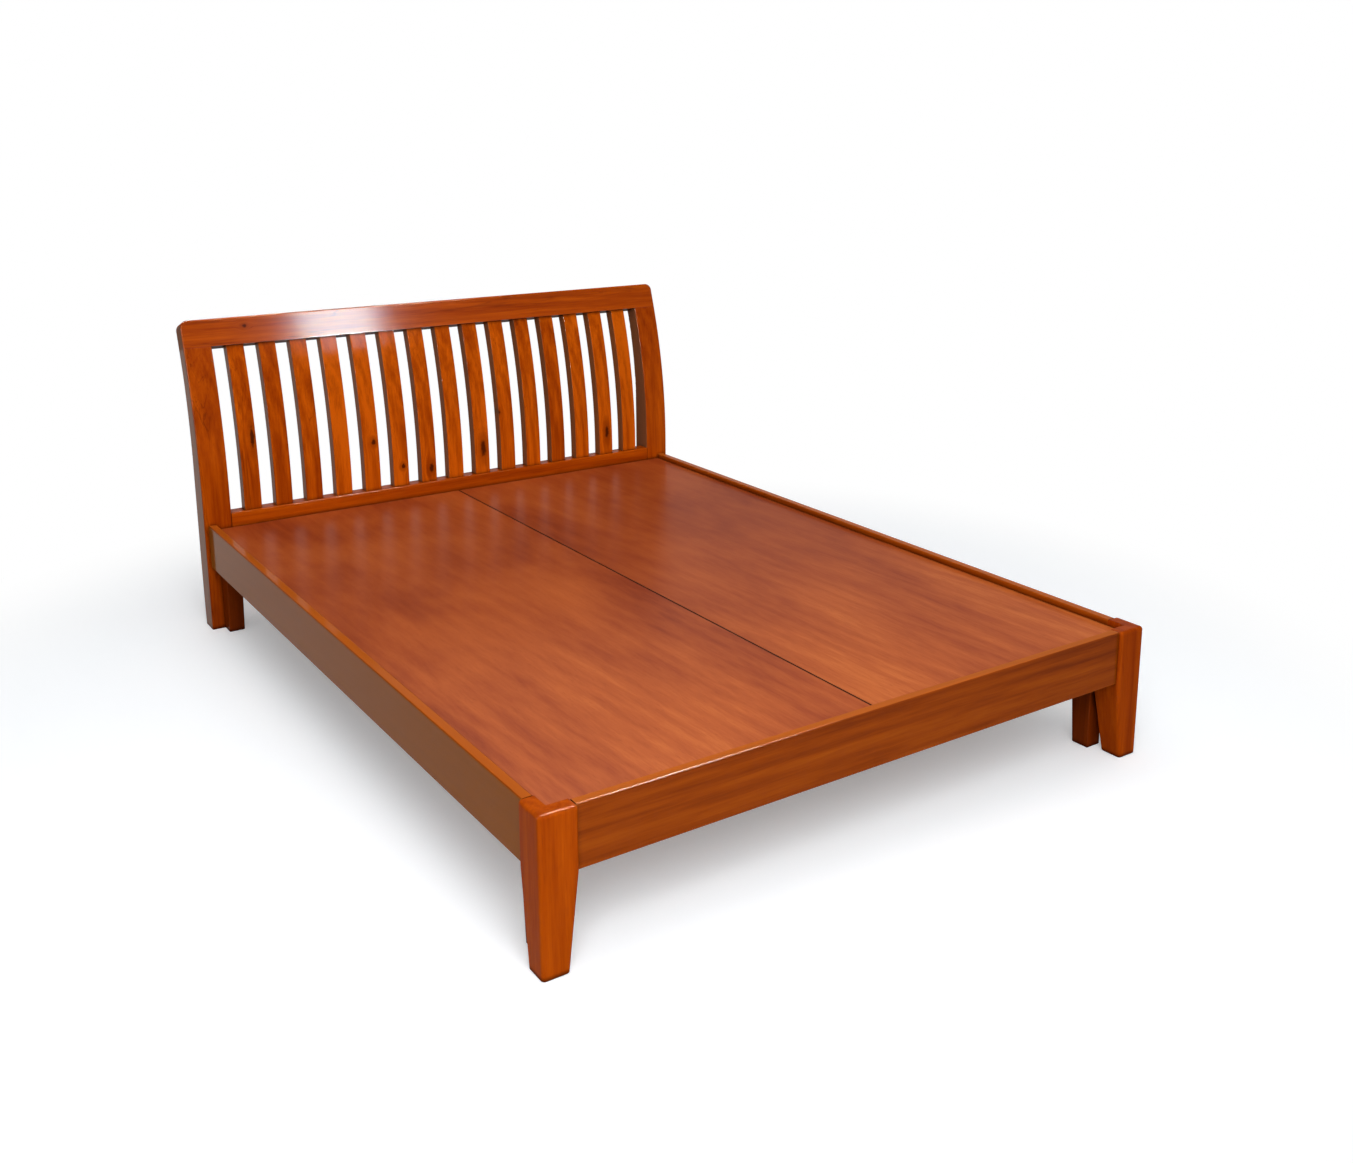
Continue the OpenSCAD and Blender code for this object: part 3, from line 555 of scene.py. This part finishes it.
def supportWood(name, values):
    material, tree, shader = startMaterial(name)
    made = useFigure(tree, addNode(tree, "ShaderNodeTexCoord").outputs["Object"], values)
    colour = markGrain(tree, rampColour(tree, made["Tone"], values["stops"]), made, values)
    # painted shade in the crevices, where another surface comes near
    creviceShade = useGroup(tree, creviceShadeGroup, {"Reach": values["creviceShadeReach"]})["Mask"]
    colour = cover(tree, colour, creviceShade, values["creviceShadeAmount"], values["creviceShade"])
    dressWood(tree, shader, colour, made["Tone"], made["Height"], values)
    return material


lengthwise = {**support, "run": "y"}
finish(supportWood("sideLedgerWood", lengthwise), "ledger_left", "ledger_right", "centre_beam")

crosswise = {**support, "run": "x"}
endPieces = ["%s_%s" % (kind, end) for kind in ("ledger", "beam_cradle") for end in ("foot", "head")]
finish(supportWood("endLedgerWood", crosswise), *endPieces)
battens = [node for node in nodes if node.startswith("batten_") and "screws" not in node]
finish(supportWood("battenWood", crosswise), *battens)

beamLeg = {**support, "run": "z"}
finish(supportWood("beamLegWood", beamLeg), "beam_leg_foot", "beam_leg_head")
print("supports finished")


# turned and plated metal: clouded, and finely scratched
metal = {
    "cloud": (160.0, 4.0, 0.6), "dullSpan": (0.4, 0.7), "roughSpan": (0.3, 0.7),
    "roughness": (0.30, 0.48),
    "scratch": (900.0, 2.0), "bump": (0.2, 0.0002),
}


def bareMetal(name, values):
    material, tree, shader = startMaterial(name)
    place = addNode(tree, "ShaderNodeTexCoord").outputs["Object"]
    cloud = addNoise(tree, place, *values["cloud"])
    dull = smoothStep(tree, cloud, *values["dullSpan"])
    colour = blendColour(tree, dull, (*values["colour"], 1), (*values["dull"], 1))
    tree.links.new(colour, shader.inputs["Base Color"])
    rough = smoothStep(tree, cloud, *values["roughSpan"], *values["roughness"])
    tree.links.new(rough, shader.inputs["Roughness"])
    shader.inputs["Metallic"].default_value = 1.0
    addBump(tree, shader, addNoise(tree, place, *values["scratch"]), *values["bump"])
    return material


zincSteel = {**metal, "colour": (0.60, 0.61, 0.62), "dull": (0.42, 0.43, 0.44)}
screws = [node for node in nodes if "screws" in node]
finish(bareMetal("zincSteel", zincSteel), "bed_bolts", "bolt_washers", *screws)

brass = {**metal, "colour": (0.66, 0.46, 0.19), "dull": (0.45, 0.30, 0.12)}
finish(bareMetal("brass", brass), "thread_inserts")
print("fittings finished")


# a white studio: an even room, soft light from the front, a softbox overhead,
# and four lamps that only glint in the lacquer
studio = {
    "room": 0.33,
    "key": {
        "place": (0, 0, 5), "towards": (-0.22, -0.76, 0.60),
        "strength": 0.50, "angle": 60,  # degrees across
    },
    "floorReach": 30.0,
    "floorBounce": 0.50,
    "floorShade": (0.87, 0.90, 0.93),  # the floor's own colour: the paler it is, the deeper the shadow
    "floorGlow": 0.24,
    "floorFade": (1.35, 2.2),  # metres from the bed's middle over which the floor turns plain white
    "lamps": {
        "window": {
            "place": (-1.35, -2.90, 2.30), "aim": (-0.30, -0.50, 0.30),
            "size": (2.0, 2.0), "power": 72, "matt": True,
        },
        "ceiling": {
            "place": (-0.30, -0.20, 3.60), "aim": (0.0, 0.0, 0.3),
            "size": (3.2, 3.2), "power": 40,
        },
        "railGlint": {
            "place": (1.33, -3.24, 3.02), "aim": (-0.34, 1.03, 0.88),
            "size": (0.48, 0.90), "power": 465, "colour": (0.70, 0.93, 1.0), "glint": True,
        },
        "footGlint": {
            "place": (1.10, -1.70, 3.40), "aim": (-0.60, -1.10, 0.32),
            "size": (1.1, 1.4), "power": 1500, "colour": (1.0, 0.84, 0.64), "glint": True,
        },
        "topGlint": {
            "place": (-0.40, 0.75, 3.20), "aim": (-0.40, 1.10, 0.90),
            "size": (2.6, 0.35), "power": 1100, "colour": (1.0, 0.90, 0.80), "glint": True,
        },
        "sideGlint": {
            "place": (-4.60, -0.40, 2.00), "aim": (-0.80, 1.05, 0.70),
            "size": (2.0, 3.4), "power": 1500, "glint": True,
        },
    },
}


def aimLamp(name, lamp, place, towards):
    stand = bpy.data.objects.new(name, lamp)
    stand.location = place
    stand.rotation_euler = towards.to_track_quat("-Z", "Y").to_euler()
    bpy.context.scene.collection.objects.link(stand)
    return stand


def addKey(values):
    key = bpy.data.lights.new("key", "SUN")
    key.energy = values["strength"]
    key.angle = math.radians(values["angle"])
    aimLamp("key", key, values["place"], -Vector(values["towards"])).visible_glossy = False


def addLamp(name, values):
    lamp = bpy.data.lights.new(name, "AREA")
    lamp.shape = "RECTANGLE"
    lamp.size, lamp.size_y = values["size"]
    lamp.energy = values["power"]
    lamp.color = values.get("colour", (1, 1, 1))
    stand = aimLamp(name, lamp, values["place"], Vector(values["aim"]) - Vector(values["place"]))
    stand.visible_diffuse = not values.get("glint", False)
    stand.visible_glossy = not values.get("matt", False)


def seenDirectly(tree):
    path = addNode(tree, "ShaderNodeLightPath").outputs
    seen = calculate(tree, "MAXIMUM", path["Is Camera Ray"], path["Is Glossy Ray"])
    return calculate(tree, "MAXIMUM", seen, path["Is Transmission Ray"])


def addGlow(tree, kind, strength):
    return addNode(tree, kind, {"Color": (1, 1, 1, 1), "Strength": strength}).outputs[0]


def mixShaders(tree, factor, first, second):
    return addNode(tree, "ShaderNodeMixShader", {0: factor, 1: first, 2: second}).outputs[0]


def lightRoom(values):
    world = bpy.data.worlds.new("room")
    bpy.context.scene.world = world
    world.use_nodes = True
    tree = world.node_tree
    tree.nodes.clear()
    room = addGlow(tree, "ShaderNodeBackground", values["room"])
    white = addGlow(tree, "ShaderNodeBackground", 1.0)
    addNode(tree, "ShaderNodeOutputWorld", {0: mixShaders(tree, seenDirectly(tree), room, white)})


def layFloor(values):
    reach = values["floorReach"]
    corners = [(-reach, -reach, 0), (reach, -reach, 0), (reach, reach, 0), (-reach, reach, 0)]
    mesh = bpy.data.meshes.new("floor")
    mesh.from_pydata(corners, [], [(0, 1, 2, 3)])
    floor = bpy.data.objects.new("floor", mesh)
    bpy.context.scene.collection.objects.link(floor)
    material, tree, shader = startMaterial("floorPaper")
    tree.nodes.remove(shader)
    grey = (*[values["floorBounce"]] * 3, 1)
    bounce = addNode(tree, "ShaderNodeBsdfDiffuse", {"Color": grey}).outputs[0]
    shade = addNode(tree, "ShaderNodeBsdfDiffuse", {"Color": (*values["floorShade"], 1)}).outputs[0]
    glow = addGlow(tree, "ShaderNodeEmission", values["floorGlow"])
    near = addNode(tree, "ShaderNodeAddShader", {0: shade, 1: glow}).outputs[0]
    place = addNode(tree, "ShaderNodeTexCoord").outputs["Object"]
    far = smoothStep(tree, vectorMath(tree, "LENGTH", place)["Value"], *values["floorFade"])
    seen = mixShaders(tree, far, near, addGlow(tree, "ShaderNodeEmission", 1.0))
    mix = mixShaders(tree, seenDirectly(tree), bounce, seen)
    tree.links.new(mix, tree.nodes["Material Output"].inputs[0])
    mesh.materials.append(material)


bpy.context.scene.view_settings.view_transform = "Standard"
lightRoom(studio)
layFloor(studio)
addKey(studio["key"])
for lampName, lampValues in studio["lamps"].items():
    addLamp(lampName, lampValues)
print("studio lit")
